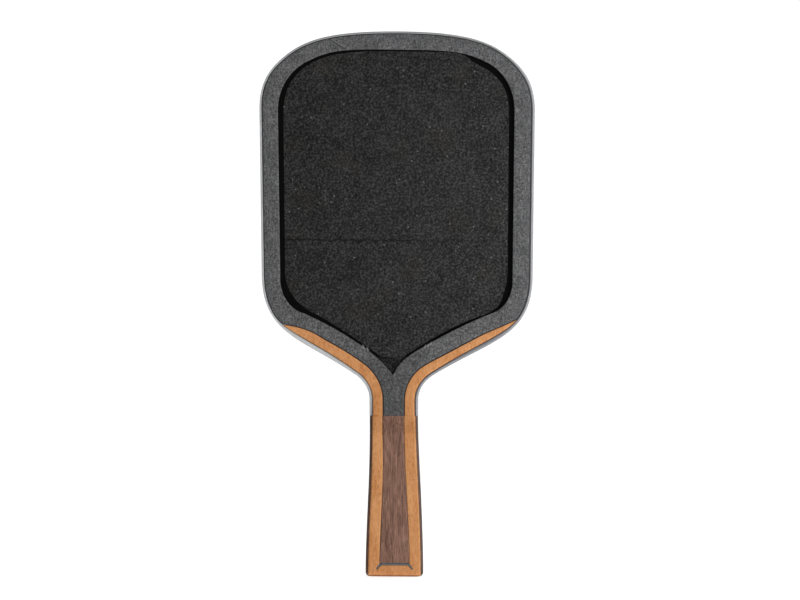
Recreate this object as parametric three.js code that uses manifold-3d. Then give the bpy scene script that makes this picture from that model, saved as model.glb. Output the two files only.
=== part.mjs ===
// Pickleball paddle: a honeycomb-cored head with a grit face, a raised composite frame
// and an edge band, and a walnut and cork handle. Nothing on it moves.
// Millimetres. X is to the right, +Z runs up the paddle and the front face looks along -Y.
// The origin is the middle of the butt's end face. The back repeats the front.

import * as THREE from 'three';
import { mergeVertices } from 'three/addons/utils/BufferGeometryUtils.js';
import Module from 'manifold-3d';

const wasm = await Module();
wasm.setup();

// ---------------------------------------------------------------- driving dimensions

const GAP = 0.3; // glue line between neighbouring pieces
const CURVE_STEPS = 10; // straight pieces in each curved stretch of an outline

const LENGTH = 404;
const HANDLE_LENGTH = 119;
const NECK_HALF_WIDTH = 18.1;
const HEAD_HALF_WIDTH = 102.2; // at the top corners
const HEAD_LOW_HALF_WIDTH = 100.5; // above the shoulders

const CORE_HALF = 7; // half-thicknesses of the head's layers, from the middle out
const SHEET_HALF = 7.5;
const GRIT_HALF = 7.8;
const BAND_HALF = 8.4;
const PLATE_HALF = 9.0;

const BAND_INNER_INSET = 3.8; // all insets are measured inwards from the head's outline
const BAND_ROUND = 1.6;
const BAND_ROUND_DEPTH = 4.5;
const BAND_ROUND_STEPS = 3;
const GROOVE = 0.35; // open line between the frame plate's edge and the band
const REVEAL_HEAD = 1.7; // width of band that shows beside the frame plate
const REVEAL_NECK = 2.6;
const REVEAL_LOW_Z = 165;
const REVEAL_HIGH_Z = 200;
const FOAM_RING_WIDTH = 11;

const STRIP_WIDTH = 7.3;
const STRIP_TURN_Z = 175.5; // where a strip's upper edge leaves its even width for the tip
const STRIP_TIP_Z = 188;

const THROAT_Z = 172; // top of the handle's spine
const CELL_PITCH = 16;
const CELL_WALL = 1.2;
const CELL_RIM = 2;

const HANDLE_TOP = HANDLE_LENGTH - GAP;
const HANDLE_HALF_WIDTH_TOP = 17.9;
const HANDLE_FLARE = 3.5; // added half-width at the butt
const HANDLE_HALF_THICK_TOP = 9.3;
const HANDLE_HALF_THICK = 12;
const HANDLE_SWELL = 1.5; // added half-thickness at the butt
const RAMP_LENGTH = 14; // the handle's faces rise over this from the neck's thickness
const RAMP_FOOT = HANDLE_TOP - RAMP_LENGTH;
const HANDLE_CORNER = 3;
const BUTT_ROUND = 3.5;
const RAIL_WIDTH = 2;
const SKIN = 2.5; // thickness of the cork frame and the walnut panel
const PLUG_TOP = 3.2;

const PANEL_HALF_WIDTH = 7.85;
const PANEL_FLARE = 3;
const PANEL_FLARE_TOP = 96;
const PANEL_FLARE_BOTTOM = 6;
const PANEL_BOTTOM = 10.2;
const ACCENT_WIDTH = 1.2;
const ACCENT_END = [13.2, 5.7];

const FAR = 300; // reaches past every side of a piece that a cut goes through

// ---------------------------------------------------------------- materials

const material = (color, roughness, metalness = 0) =>
  new THREE.MeshStandardMaterial({ color, roughness, metalness });

const materials = {
  honeycomb: material(0xd9d6cc, 0.6),
  foam: material(0xe6e2d6, 0.9),
  spine: material(0xcdb48a, 0.7),
  laminate: material(0x121213, 0.35),
  grit: material(0x2c2c2d, 0.95),
  composite: material(0x5b5c5e, 0.7),
  band: material(0xbdbfc0, 0.5),
  cork: material(0xc4874f, 0.8),
  walnut: material(0x745546, 0.6),
  accent: material(0x5d646b, 0.45),
};

// ---------------------------------------------------------------- solids

function toSolid(geometry) {
  const bare = geometry.clone();
  bare.deleteAttribute('normal');
  bare.deleteAttribute('uv');
  const merged = mergeVertices(bare);
  return new wasm.Manifold(new wasm.Mesh({
    numProp: 3,
    vertProperties: new Float32Array(merged.attributes.position.array),
    triVerts: new Uint32Array(merged.index.array),
  }));
}

function toGeometry(solid) {
  const { vertProperties, triVerts, numProp } = solid.getMesh();
  const position = new Float32Array((vertProperties.length / numProp) * 3);
  for (let i = 0; i < position.length; i += 1) {
    position[i] = vertProperties[Math.floor(i / 3) * numProp + (i % 3)];
  }
  const geometry = new THREE.BufferGeometry();
  geometry.setAttribute('position', new THREE.BufferAttribute(position, 3));
  geometry.setIndex(new THREE.BufferAttribute(new Uint32Array(triVerts), 1));
  geometry.computeVertexNormals();
  return geometry;
}

// A solid with the given front outline, from `near` to `far` in front of the middle plane.
// A negative `near` lies behind that plane.
function slab(outline, near, far, holes = []) {
  const shape = new THREE.Shape(outline);
  shape.holes = holes.map((hole) => new THREE.Path(hole));
  const geometry = new THREE.ExtrudeGeometry(shape, { depth: far - near, bevelEnabled: false });
  geometry.rotateX(Math.PI / 2);
  geometry.translate(0, -near, 0);
  return toSolid(geometry);
}

// A solid with the given side outline in Y and Z, as wide as the handle and more.
function sideSlab(outline) {
  const geometry = new THREE.ExtrudeGeometry(new THREE.Shape(outline), {
    depth: 2 * FAR,
    bevelEnabled: false,
  });
  geometry.rotateY(Math.PI / 2);
  geometry.rotateX(Math.PI / 2);
  geometry.translate(-FAR, 0, 0);
  return toSolid(geometry);
}

const point = (x, z) => new THREE.Vector2(x, z);

const rectangle = (halfWidth, low, high) => [
  point(-halfWidth, low),
  point(halfWidth, low),
  point(halfWidth, high),
  point(-halfWidth, high),
];

// ---------------------------------------------------------------- outlines

// Closes a right-hand half outline, which runs from the bottom to the top, with its mirror image.
function mirrored(half) {
  const left = half.map((p) => point(-p.x, p.y)).reverse();
  return [...half, ...left.filter((p) => p.x < 0)];
}

// The head's outer outline, right half, from the top of the handle to the crown.
function headHalf() {
  const path = new THREE.Path();
  path.moveTo(NECK_HALF_WIDTH, HANDLE_LENGTH);
  path.lineTo(NECK_HALF_WIDTH, 130.5);
  path.bezierCurveTo(NECK_HALF_WIDTH, 138.7, 22.9, 145.3, 29, 149.2);
  path.bezierCurveTo(71, 176.2, HEAD_LOW_HALF_WIDTH, 178, HEAD_LOW_HALF_WIDTH, 224.3);
  path.lineTo(HEAD_HALF_WIDTH, 345.6);
  path.bezierCurveTo(HEAD_HALF_WIDTH, 361.4, 98, 372.8, 85, 384);
  path.bezierCurveTo(70, 396.9, 51.5, LENGTH, 0, LENGTH);
  return path.getPoints(CURVE_STEPS);
}

// Moves a half outline inwards. `distance` gives the inset at a height.
function inset(half, distance) {
  return half.map((p, i) => {
    const before = half[Math.max(i - 1, 0)];
    const after = half[Math.min(i + 1, half.length - 1)];
    const inward = point(before.y - after.y, after.x - before.x).normalize();
    const moved = p.clone().addScaledVector(inward, distance(p.y));
    if (i === 0) moved.y = p.y;
    if (p.x === 0) moved.x = 0;
    return moved;
  });
}

const even = (distance) => () => distance;

function reveal(z) {
  const share = THREE.MathUtils.smoothstep(z, REVEAL_LOW_Z, REVEAL_HIGH_Z);
  return THREE.MathUtils.lerp(REVEAL_NECK, REVEAL_HEAD, share);
}

// The frame's opening, which the face shows through: flat-topped, with a pointed foot.
function openingHalf() {
  const path = new THREE.Path();
  path.moveTo(0, 150.6);
  path.bezierCurveTo(11.3, 167, 48, 186.9, 71, 196.1);
  path.bezierCurveTo(80.2, 199.8, 85.8, 209.5, 85.8, 220);
  path.lineTo(87.7, 345.2);
  path.bezierCurveTo(87.7, 360.2, 80.4, 373.2, 68, 380);
  path.bezierCurveTo(50.9, 389.4, 41, 389.9, 0, 389.9);
  return path.getPoints(CURVE_STEPS);
}

// The grit face, a little inside the opening, with a blunt foot.
function gritHalf() {
  const path = new THREE.Path();
  path.moveTo(0, 160.8);
  path.quadraticCurveTo(6, 160.8, 11.6, 162.9);
  path.lineTo(12.8, 165);
  path.bezierCurveTo(24, 174, 36.4, 183.8, 57.1, 191.6);
  path.bezierCurveTo(70.2, 196.5, 82.3, 209.8, 82.3, 222.6);
  path.lineTo(83.4, 344.4);
  path.bezierCurveTo(83.4, 359.8, 77.4, 371.4, 63.4, 378.4);
  path.bezierCurveTo(45.6, 387.3, 48, 388.9, 0, 388.9);
  return path.getPoints(CURVE_STEPS);
}

const outline = headHalf();
const plateEdge = inset(outline, reveal);

// Where a half outline that rises all the way reaches a height.
function atHeight(half, z) {
  const next = half.findIndex((p) => p.y > z);
  const low = half[next - 1];
  const high = half[next];
  return low.clone().lerp(high, (z - low.y) / (high.y - low.y));
}

// Inner edge of the right-hand shoulder strip, from the handle to its tip on the plate's edge.
// `grow` moves it outwards, over the plate.
function stripInnerEdge(grow) {
  const evenPart = inset(outline, (z) => reveal(z) + STRIP_WIDTH + grow)
    .filter((p) => p.y < STRIP_TURN_Z);
  const turn = evenPart.pop();
  const tip = atHeight(plateEdge, STRIP_TIP_Z + grow);
  const sweep = new THREE.CubicBezierCurve(
    turn,
    point(turn.x + 12, turn.y + 6.5),
    point(tip.x - 15, tip.y - 4.8),
    tip,
  );
  return [...evenPart, ...sweep.getPoints(CURVE_STEPS)];
}

function stripOutline() {
  const outer = plateEdge.filter((p) => p.y < STRIP_TIP_Z && p.x < HEAD_LOW_HALF_WIDTH);
  return [...outer, ...stripInnerEdge(0).reverse()];
}

// Everything that a strip takes out of the frame plate.
function stripRoom() {
  const edge = stripInnerEdge(GAP);
  const foot = point(edge[0].x, HANDLE_LENGTH - 1);
  return [foot, point(FAR, foot.y), point(FAR, STRIP_TIP_Z + GAP), ...edge.reverse()];
}

const flipped = (points) => points.map((p) => point(-p.x, p.y)).reverse();

// ---------------------------------------------------------------- head

const sheetEdge = inset(outline, even(BAND_INNER_INSET + GAP));

// The spine and the face sheets share the tongue that runs down into the handle.
const withTongue = (half) => [point(half[0].x, PLUG_TOP + GAP), ...half];

function spine() {
  return slab(mirrored(withTongue(sheetEdge)), -CORE_HALF, CORE_HALF)
    .intersect(slab(rectangle(FAR, -FAR, THROAT_Z), -FAR, FAR));
}

const coreBottom = THROAT_Z + FOAM_RING_WIDTH / 2;

// The part of the core layer at least `distance` inside the outline and above `low`.
function coreLayer(distance, low) {
  return slab(mirrored(inset(outline, even(distance))), -CORE_HALF, CORE_HALF)
    .intersect(slab(rectangle(FAR, low, LENGTH), -FAR, FAR));
}

function perimeterFoam() {
  return coreLayer(BAND_INNER_INSET + GAP, THROAT_Z + GAP)
    .subtract(coreLayer(BAND_INNER_INSET + FOAM_RING_WIDTH, coreBottom - GAP));
}

function hexagon(x, z, radius) {
  return Array.from({ length: 6 }, (_, i) => {
    const angle = ((i + 0.5) * Math.PI) / 3;
    return point(x + radius * Math.cos(angle), z + radius * Math.sin(angle));
  });
}

function inside(polygon, p) {
  let within = false;
  polygon.forEach((a, i) => {
    const b = polygon[(i + 1) % polygon.length];
    const crosses = a.y > p.y !== b.y > p.y;
    if (crosses && p.x < a.x + ((p.y - a.y) / (b.y - a.y)) * (b.x - a.x)) within = !within;
  });
  return within;
}

// Rows of hexagonal cells, open at both faces, wherever a whole cell fits.
function honeycomb() {
  const rim = BAND_INNER_INSET + FOAM_RING_WIDTH + GAP;
  const edge = mirrored(inset(outline, even(rim)));
  const radius = CELL_PITCH / 2 / Math.cos(Math.PI / 6);
  const rowHeight = 1.5 * radius;
  const rows = Math.floor((LENGTH - coreBottom) / rowHeight);
  const columns = Math.floor(HEAD_HALF_WIDTH / CELL_PITCH);
  const cells = [];
  for (let row = 0; row < rows; row += 1) {
    const z = coreBottom + CELL_RIM + radius + row * rowHeight;
    for (let column = -columns; column <= columns; column += 1) {
      const x = (column + (row % 2) / 2) * CELL_PITCH;
      const fits = hexagon(x, z, radius + CELL_RIM).every((p) => inside(edge, p));
      if (fits) cells.push(hexagon(x, z, radius - CELL_WALL / 2));
    }
  }
  return slab(edge, -CORE_HALF, CORE_HALF, cells)
    .intersect(slab(rectangle(FAR, coreBottom, LENGTH), -FAR, FAR));
}

const faceSheet = () => slab(mirrored(withTongue(sheetEdge)), CORE_HALF, SHEET_HALF);

const gritFilm = () => slab(mirrored(gritHalf()), SHEET_HALF, GRIT_HALF);

// The Y-shaped plate: a ring round the face and a stem down the neck, cut for the strips.
function framePlate() {
  return slab(mirrored(plateEdge), SHEET_HALF, PLATE_HALF)
    .subtract(slab(mirrored(openingHalf()), 0, FAR))
    .subtract(slab(stripRoom(), 0, FAR))
    .subtract(slab(flipped(stripRoom()), 0, FAR));
}

// A round-edged loop: deep inside it takes the core and sheets, and a step on each side takes
// the frame plate with its groove.
function edgeBand() {
  const long = [point(NECK_HALF_WIDTH, HANDLE_LENGTH - 3 * BAND_ROUND), ...outline];
  const geometry = new THREE.ExtrudeGeometry(new THREE.Shape(mirrored(long)), {
    depth: 2 * (BAND_HALF - BAND_ROUND_DEPTH),
    bevelThickness: BAND_ROUND_DEPTH,
    bevelSize: BAND_ROUND,
    bevelOffset: -BAND_ROUND,
    bevelSegments: BAND_ROUND_STEPS,
  });
  geometry.rotateX(Math.PI / 2);
  geometry.translate(0, BAND_HALF - BAND_ROUND_DEPTH, 0);
  const below = (half) => [point(half[0].x, HANDLE_LENGTH - 4 * BAND_ROUND), ...half];
  const inner = mirrored(below(inset(outline, even(BAND_INNER_INSET))));
  const step = mirrored(below(inset(outline, (z) => reveal(z) - GROOVE)));
  return toSolid(geometry)
    .subtract(slab(inner, -FAR, FAR))
    .subtract(slab(step, SHEET_HALF, FAR))
    .subtract(slab(step, -FAR, -SHEET_HALF))
    .subtract(slab(rectangle(FAR, -FAR, HANDLE_LENGTH), -FAR, FAR));
}

// ---------------------------------------------------------------- handle

const flareAt = (z) => THREE.MathUtils.smoothstep(HANDLE_LENGTH - z, 0, HANDLE_LENGTH);

function buttRound(z) {
  const below = Math.max(BUTT_ROUND - z, 0);
  return BUTT_ROUND - Math.sqrt(BUTT_ROUND ** 2 - below ** 2);
}

const widthAt = (z) => HANDLE_HALF_WIDTH_TOP + HANDLE_FLARE * flareAt(z) - buttRound(z);

function fullThicknessAt(z) {
  const ramp = 1 - THREE.MathUtils.smoothstep(HANDLE_TOP - z, 0, RAMP_LENGTH);
  const drop = (HANDLE_HALF_THICK - HANDLE_HALF_THICK_TOP) * ramp;
  return HANDLE_HALF_THICK + HANDLE_SWELL * flareAt(z) - drop;
}

const thicknessAt = (z) => fullThicknessAt(z) - buttRound(z);

const skinUndersideAt = (z) => Math.max(fullThicknessAt(z) - SKIN, SHEET_HALF);

// `count` heights that divide the way from `low` to `high` evenly and end at `high`.
function heights(low, high, count) {
  return Array.from({ length: count }, (_, i) => low + ((high - low) * (i + 1)) / count);
}

// Where the handle's curves are sampled: close together at the butt's round edge and up the
// ramp, and wider apart between them.
const levels = [
  ...[0, 0.12, 0.4, 1].map((share) => share * BUTT_ROUND),
  ...heights(BUTT_ROUND, RAMP_FOOT, 9),
  ...heights(RAMP_FOOT, HANDLE_TOP, 6),
];

// The handle's whole outer form: a rounded rectangle carried up the levels, pushed out to the
// width and thickness at each.
function handleForm() {
  const half = 2 * HANDLE_CORNER;
  const core = half - HANDLE_CORNER;
  const section = new THREE.Shape();
  section.absarc(core, core, HANDLE_CORNER, 0, Math.PI / 2);
  section.absarc(-core, core, HANDLE_CORNER, Math.PI / 2, Math.PI);
  section.absarc(-core, -core, HANDLE_CORNER, Math.PI, 1.5 * Math.PI);
  section.absarc(core, -core, HANDLE_CORNER, 1.5 * Math.PI, 2 * Math.PI);
  const geometry = new THREE.ExtrudeGeometry(section, {
    depth: levels.length - 1,
    steps: levels.length - 1,
    curveSegments: 3,
    bevelEnabled: false,
  });
  const position = geometry.attributes.position;
  for (let i = 0; i < position.count; i += 1) {
    const x = position.getX(i);
    const y = position.getY(i);
    const z = levels[Math.round(position.getZ(i))];
    position.setXYZ(
      i,
      x + Math.sign(x) * (widthAt(z) - half),
      y + Math.sign(y) * (thicknessAt(z) - half),
      z,
    );
  }
  return toSolid(geometry);
}

const form = handleForm();

// Right half of an outline that follows the handle's side, `depth` inside it.
function sideHalf(depth) {
  return levels.map((z) => point(widthAt(Math.max(z, BUTT_ROUND)) - depth, z));
}

// The front of the handle from the skin's underside outwards.
function skinRoom() {
  const underside = levels.map((z) => point(-skinUndersideAt(z), z));
  return sideSlab([...underside, point(-FAR, HANDLE_TOP), point(-FAR, 0)]);
}

const frontSkin = form.intersect(skinRoom());

function panelWidthAt(z) {
  const share = THREE.MathUtils.smoothstep(
    PANEL_FLARE_TOP - z,
    0,
    PANEL_FLARE_TOP - PANEL_FLARE_BOTTOM,
  );
  return PANEL_HALF_WIDTH + PANEL_FLARE * share;
}

// Right half of the walnut panel's outline, grown by `grow` at its sides.
function panelHalf(grow, low) {
  const span = [low, ...levels.filter((z) => z > low)];
  return span.map((z) => point(panelWidthAt(z) + grow, z));
}

const walnutPanel = () => frontSkin.intersect(slab(mirrored(panelHalf(0, PANEL_BOTTOM)), 0, FAR));

// The accent line under the panel: straight across, with both ends turned down and outwards.
function accentOutline(grow) {
  const halfLine = panelWidthAt(PANEL_BOTTOM) - 0.6;
  const top = PANEL_BOTTOM - GAP + grow;
  const bottom = PANEL_BOTTOM - GAP - ACCENT_WIDTH - grow;
  const [endX, endZ] = ACCENT_END;
  const half = new THREE.Path();
  half.moveTo(halfLine - 1.2, bottom);
  half.quadraticCurveTo(halfLine + 0.2, bottom, endX - 0.9 - grow, endZ - grow);
  half.lineTo(endX + 0.3 + grow, endZ + 0.3 - grow);
  half.quadraticCurveTo(halfLine + 1.3, top - 0.4, halfLine, top);
  return mirrored(half.getPoints(4));
}

const accentInlay = () => frontSkin.intersect(slab(accentOutline(0), 0, FAR));

// The cork frame: both sides of the front and the bar under the panel.
function corkFrame() {
  const field = mirrored(sideHalf(RAIL_WIDTH + GAP));
  return frontSkin
    .intersect(slab(field, 0, FAR))
    .subtract(slab(mirrored(panelHalf(GAP, PANEL_BOTTOM - GAP)), 0, FAR))
    .subtract(slab(accentOutline(GAP), 0, FAR));
}

function sideRail() {
  const inner = sideHalf(RAIL_WIDTH);
  const outer = [point(FAR, HANDLE_TOP), point(FAR, 0)];
  return form.intersect(slab([...outer, ...inner], -FAR, FAR));
}

// The packing between the tongue and the skin.
function handleCore() {
  const low = PLUG_TOP + GAP;
  const span = [low, ...levels.filter((z) => z > low && z <= RAMP_FOOT)];
  const upper = span.map((z) => point(GAP - skinUndersideAt(z), z));
  return sideSlab([...upper, point(-SHEET_HALF, RAMP_FOOT), point(-SHEET_HALF, low)])
    .intersect(slab(mirrored(sideHalf(RAIL_WIDTH + GAP)), 0, FAR));
}

function buttPlug() {
  const skinClear = skinUndersideAt(0) - GAP;
  return form
    .intersect(slab(mirrored(sideHalf(RAIL_WIDTH + GAP)), -skinClear, skinClear))
    .intersect(slab(rectangle(FAR, -FAR, PLUG_TOP), -FAR, FAR));
}

// ---------------------------------------------------------------- assembly

const paddle = new THREE.Group();

function add(name, solid, finish, turned = false) {
  const mesh = new THREE.Mesh(toGeometry(solid), finish);
  mesh.name = name;
  mesh.rotation.z = turned ? Math.PI : 0;
  paddle.add(mesh);
}

// Front and back pieces are the same solid, turned half a turn about the paddle's length.
function addPair(name, solid, finish) {
  add(`front_${name}`, solid, finish);
  add(`back_${name}`, solid, finish, true);
}

add('honeycomb_core', honeycomb(), materials.honeycomb);
add('perimeter_foam', perimeterFoam(), materials.foam);
add('handle_spine', spine(), materials.spine);
add('edge_band', edgeBand(), materials.band);
addPair('face_sheet', faceSheet(), materials.laminate);
addPair('grit_film', gritFilm(), materials.grit);
addPair('frame_plate', framePlate(), materials.composite);

const rightStrip = slab(stripOutline(), SHEET_HALF, PLATE_HALF);
const leftStrip = slab(flipped(stripOutline()), SHEET_HALF, PLATE_HALF);
add('front_right_shoulder_strip', rightStrip, materials.cork);
add('front_left_shoulder_strip', leftStrip, materials.cork);
add('back_left_shoulder_strip', rightStrip, materials.cork, true);
add('back_right_shoulder_strip', leftStrip, materials.cork, true);

addPair('handle_core', handleCore(), materials.foam);
addPair('cork_frame', corkFrame(), materials.cork);
addPair('walnut_panel', walnutPanel(), materials.walnut);
addPair('accent_inlay', accentInlay(), materials.accent);
add('right_side_rail', sideRail(), materials.walnut);
add('left_side_rail', sideRail(), materials.walnut, true);
add('butt_plug', buttPlug(), materials.walnut);

export default paddle;
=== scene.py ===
import math
from collections import namedtuple

import bpy
import numpy as np
from mathutils import Matrix, Vector
from mathutils.geometry import delaunay_2d_cdt
from mathutils.kdtree import KDTree

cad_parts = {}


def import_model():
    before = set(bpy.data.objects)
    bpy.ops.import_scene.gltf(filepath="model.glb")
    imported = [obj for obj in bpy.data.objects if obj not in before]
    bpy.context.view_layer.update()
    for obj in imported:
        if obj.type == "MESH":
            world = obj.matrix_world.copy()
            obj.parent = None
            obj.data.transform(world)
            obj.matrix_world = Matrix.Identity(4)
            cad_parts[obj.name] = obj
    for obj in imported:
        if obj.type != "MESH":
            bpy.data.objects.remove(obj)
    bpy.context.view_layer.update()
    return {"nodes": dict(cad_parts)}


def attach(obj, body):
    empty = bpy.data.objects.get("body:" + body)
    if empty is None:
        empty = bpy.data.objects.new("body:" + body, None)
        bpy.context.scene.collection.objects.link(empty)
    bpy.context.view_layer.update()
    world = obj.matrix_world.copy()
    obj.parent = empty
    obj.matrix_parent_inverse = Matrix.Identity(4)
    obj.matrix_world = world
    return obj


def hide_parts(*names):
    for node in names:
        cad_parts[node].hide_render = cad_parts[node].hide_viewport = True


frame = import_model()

# ---------------------------------------------------------------- dimensions, in millimetres

MM = 0.001
STEP = 0.8  # length of an outline's straight pieces
FINE_STEP = 0.4
POINT_CLEARANCE = 0.2  # keeps an edge's own points this far from a corner that is added to it

GAP = 0.3
LENGTH = 404
HANDLE_LENGTH = 119
NECK_HALF_WIDTH = 18.1
HEAD_HALF_WIDTH = 102.2
HEAD_LOW_HALF_WIDTH = 100.5

SHEET_HALF = 7.5
GRIT_HALF = 7.8
BAND_HALF = 8.4
PLATE_HALF = 9.0
BAND_INNER_INSET = 3.8
BAND_ROUND = 1.6
BAND_ROUND_DEPTH = 4.5
BAND_LIP_ROUND = 0.18
GROOVE = 0.4
PLATE_EDGE = 0.75  # rounding of the frame's outer edge
FINE_EDGE = 0.35  # rounding of the head's other edges
JOINT_EDGE = 0.05  # rounding of all edges at the joint between the head and the handle
JOINT_REACH = 0.2  # how far from the joint it is as fine as that
FALL = 0.95  # how much lower the frame's front is at the outline than at the opening
FALL_WIDTH = 15.5
FALL_BEGINS = (122, 40)  # this and the other pairs: a height, and the length of the change above it
REVEAL_HEAD = 2.05  # width of the band that shows beside the frame
REVEAL_CROWN = 1.55
REVEAL_NECK = 2.4
REVEAL_SHOULDER = 3.4
REVEAL_LEAN = 0.25  # how much wider it is on the head's right, and narrower on its left
REVEAL_WIDENS = (148, 20)
REVEAL_NARROWS = (171, 20)
REVEAL_TO_CROWN = {1: (370, 30), -1: (334, 30)}
BUTT_SHIFT = 0.25  # how far the butt's middle stands to the right
BUTT_RETURNS = (0, 90)
NECK_SHIFT = 1  # how far the neck's middle stands to the left
NECK_LEAVES = (60, 75)
NECK_RETURNS = (140, 30)
HEAD_SHIFT = 1  # how far the head's middle stands to the right above the shoulders
HEAD_LEAVES = (150, 40)
HEAD_SHIFT_LOST = 1.05  # how much of that shift is gone at the head's top corners
HEAD_RETURNS = (205, 150)

# Each shoulder strip: its side, the distance from its inner edge to the outline at the neck and
# along the shoulder, the height at which that edge turns towards the tip, how it leaves and
# arrives there, and the tip's height.
Strip = namedtuple("Strip", "side neck shoulder turn_z leaves arrives tip_z")
RIGHT_STRIP = Strip(1, 10.2, 9.3, 178.5, (5.6, 3.1), (9.6, 4.3), 190.5)
LEFT_STRIP = Strip(-1, 10, 10.5, 176.5, (7.1, 4.7), (14, 1.2), 185.8)
STRIP_SHOULDER = (143, 15)
STRIP_TIP_LENGTH = 14  # how far from its tip a strip's edge is fully rounded

HANDLE_TOP = HANDLE_LENGTH - 0.06
HANDLE_HALF_WIDTH_TOP = 17.9
HANDLE_FLARE = 3.5
HANDLE_HALF_THICK_TOP = 9.3
HANDLE_HALF_THICK = 12
HANDLE_SWELL = 1.5
RAMP_LENGTH = 14
HANDLE_CORNER = 3
BUTT_ROUND = 3.5
RAIL_WIDTH = 2
RAIL_OVERLAP = 0.02  # how far the cork reaches into the rails, which closes the slit between them
SKIN = 2.5
LEAST_SKIN = 0.25  # thickness at which the cork ends, at the butt
LEAST_RAIL = 0.1

PANEL_HALF_WIDTH = 7.85
PANEL_SHIFT = 0.45  # how far the panel stands to the left higher up
PANEL_LEAVES = (30, 85)
PANEL_FLARE = 3
PANEL_FLARE_TOP = 96
PANEL_FLARE_BOTTOM = 6
PANEL_BOTTOM = 10.2
ACCENT_WIDTH = 1.2
ACCENT_END = (13.2, 5.7)

BEVEL_STEPS = 3
EDGE_RINGS = BEVEL_STEPS + 1  # rings of faces from a shell's bottom to its top
BAND_STEPS = 8
SHARP_ANGLE = math.radians(50)
HEAD_GRID = 2  # spacing of the points inside a curved front
PANEL_GRID = 1.0
BUTT_GRID = 0.8
GRID_MARGIN = 0.45  # how far they stay from its edge, as a share of the spacing

# ---------------------------------------------------------------- outlines


def ease(share):
    share = min(max(share, 0), 1)
    return share * share * (3 - 2 * share)


def portion(z, start, length):
    """How much of a change, which begins at a height and takes a length, is done at z."""
    return min(max((z - start) / length, 0), 1)


def rise(z, start, length):
    return ease(portion(z, start, length))


def along(handles, share):
    while len(handles) > 1:
        handles = [a.lerp(b, share) for a, b in zip(handles, handles[1:])]
    return handles[0]


def path(start, *stretches, step=STEP):
    """Points along straight and curved stretches, each given by its Bezier points after the first."""
    points = [Vector(start)]
    for stretch in stretches:
        handles = [points[-1], *(Vector(p) for p in stretch)]
        length = sum((b - a).length for a, b in zip(handles, handles[1:]))
        count = math.ceil(length / step)
        points += [along(handles, i / count) for i in range(1, count + 1)]
    return points


def flipped(loop):
    return [Vector((-p.x, p.y)) for p in reversed(loop)]


def joined(right, left):
    """A closed outline from its two halves, which both run upwards, with x counted outwards."""
    return right + [Vector((-p.x, p.y)) for p in left[-2:0:-1]]


def mirrored(half):
    return half + [Vector((-p.x, p.y)) for p in reversed(half) if p.x > 1e-6]


def inset(half, distance):
    """Moves a right-hand half outline, which runs upwards, inwards by distance(height)."""
    moved = []
    for i, p in enumerate(half):
        before, after = half[max(i - 1, 0)], half[min(i + 1, len(half) - 1)]
        inward = Vector((before.y - after.y, after.x - before.x)).normalized()
        q = p + inward * distance(p.y)
        if i == 0:
            q.y = p.y
        if p.x < 1e-6:
            q.x = 0
        moved.append(q)
    return moved


def reveal(z, side):
    """Width of the band that shows beside the frame at a height, on the right, 1, or left, -1."""
    head = REVEAL_HEAD + side * REVEAL_LEAN
    width = REVEAL_NECK + (REVEAL_SHOULDER - REVEAL_NECK) * rise(z, *REVEAL_WIDENS)
    width += (head - REVEAL_SHOULDER) * rise(z, *REVEAL_NARROWS)
    return width + (REVEAL_CROWN - head) * rise(z, *REVEAL_TO_CROWN[side])


def lean(z):
    """Sideways place of the paddle's middle at a height."""
    butt = BUTT_SHIFT * (1 - rise(z, *BUTT_RETURNS))
    neck = NECK_SHIFT * rise(z, *NECK_LEAVES) * (1 - rise(z, *NECK_RETURNS))
    head = HEAD_SHIFT - HEAD_SHIFT_LOST * portion(z, *HEAD_RETURNS)
    return butt - neck + head * rise(z, *HEAD_LEAVES)


outline = path(
    (NECK_HALF_WIDTH, HANDLE_LENGTH),
    [(NECK_HALF_WIDTH, 130.5)],
    [(NECK_HALF_WIDTH, 138.7), (22.9, 145.3), (29, 149.2)],
    [(71, 176.2), (HEAD_LOW_HALF_WIDTH, 178), (HEAD_LOW_HALF_WIDTH, 224.3)],
    [(HEAD_HALF_WIDTH, 345.6)],
    [(HEAD_HALF_WIDTH, 361.4), (98, 372.8), (85, 384)],
    [(70, 396.9), (51.5, LENGTH), (0, LENGTH)],
)
opening = joined(
    path(
        (-1, 149.3),
        [(1.8, 155.3), (4.8, 159.8), (9.9, 163.7)],
        [(22.3, 172.4), (47.6, 186.8), (70.8, 195.7)],
        [(80.2, 199.4), (85.6, 209.3), (85.4, 220)],
        [(87, 345.2)],
        [(87.1, 360.2), (80.3, 373.2), (68.3, 380.2)],
        [(51, 389.4), (41.1, 390.2), (0, 390.3)],
    ),
    path(
        (1, 149.3),
        [(4.6, 153), (8.6, 157.6), (13, 161.4)],
        [(22, 169.1), (48.3, 186.3), (71.9, 195.5)],
        [(80.7, 199), (86.8, 209.2), (86.7, 220)],
        [(88.4, 345.2)],
        [(88.3, 360.2), (80.7, 373.4), (68.1, 380.4)],
        [(50.8, 389.8), (40.9, 390.7), (0, 390.3)],
    ),
)
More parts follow.
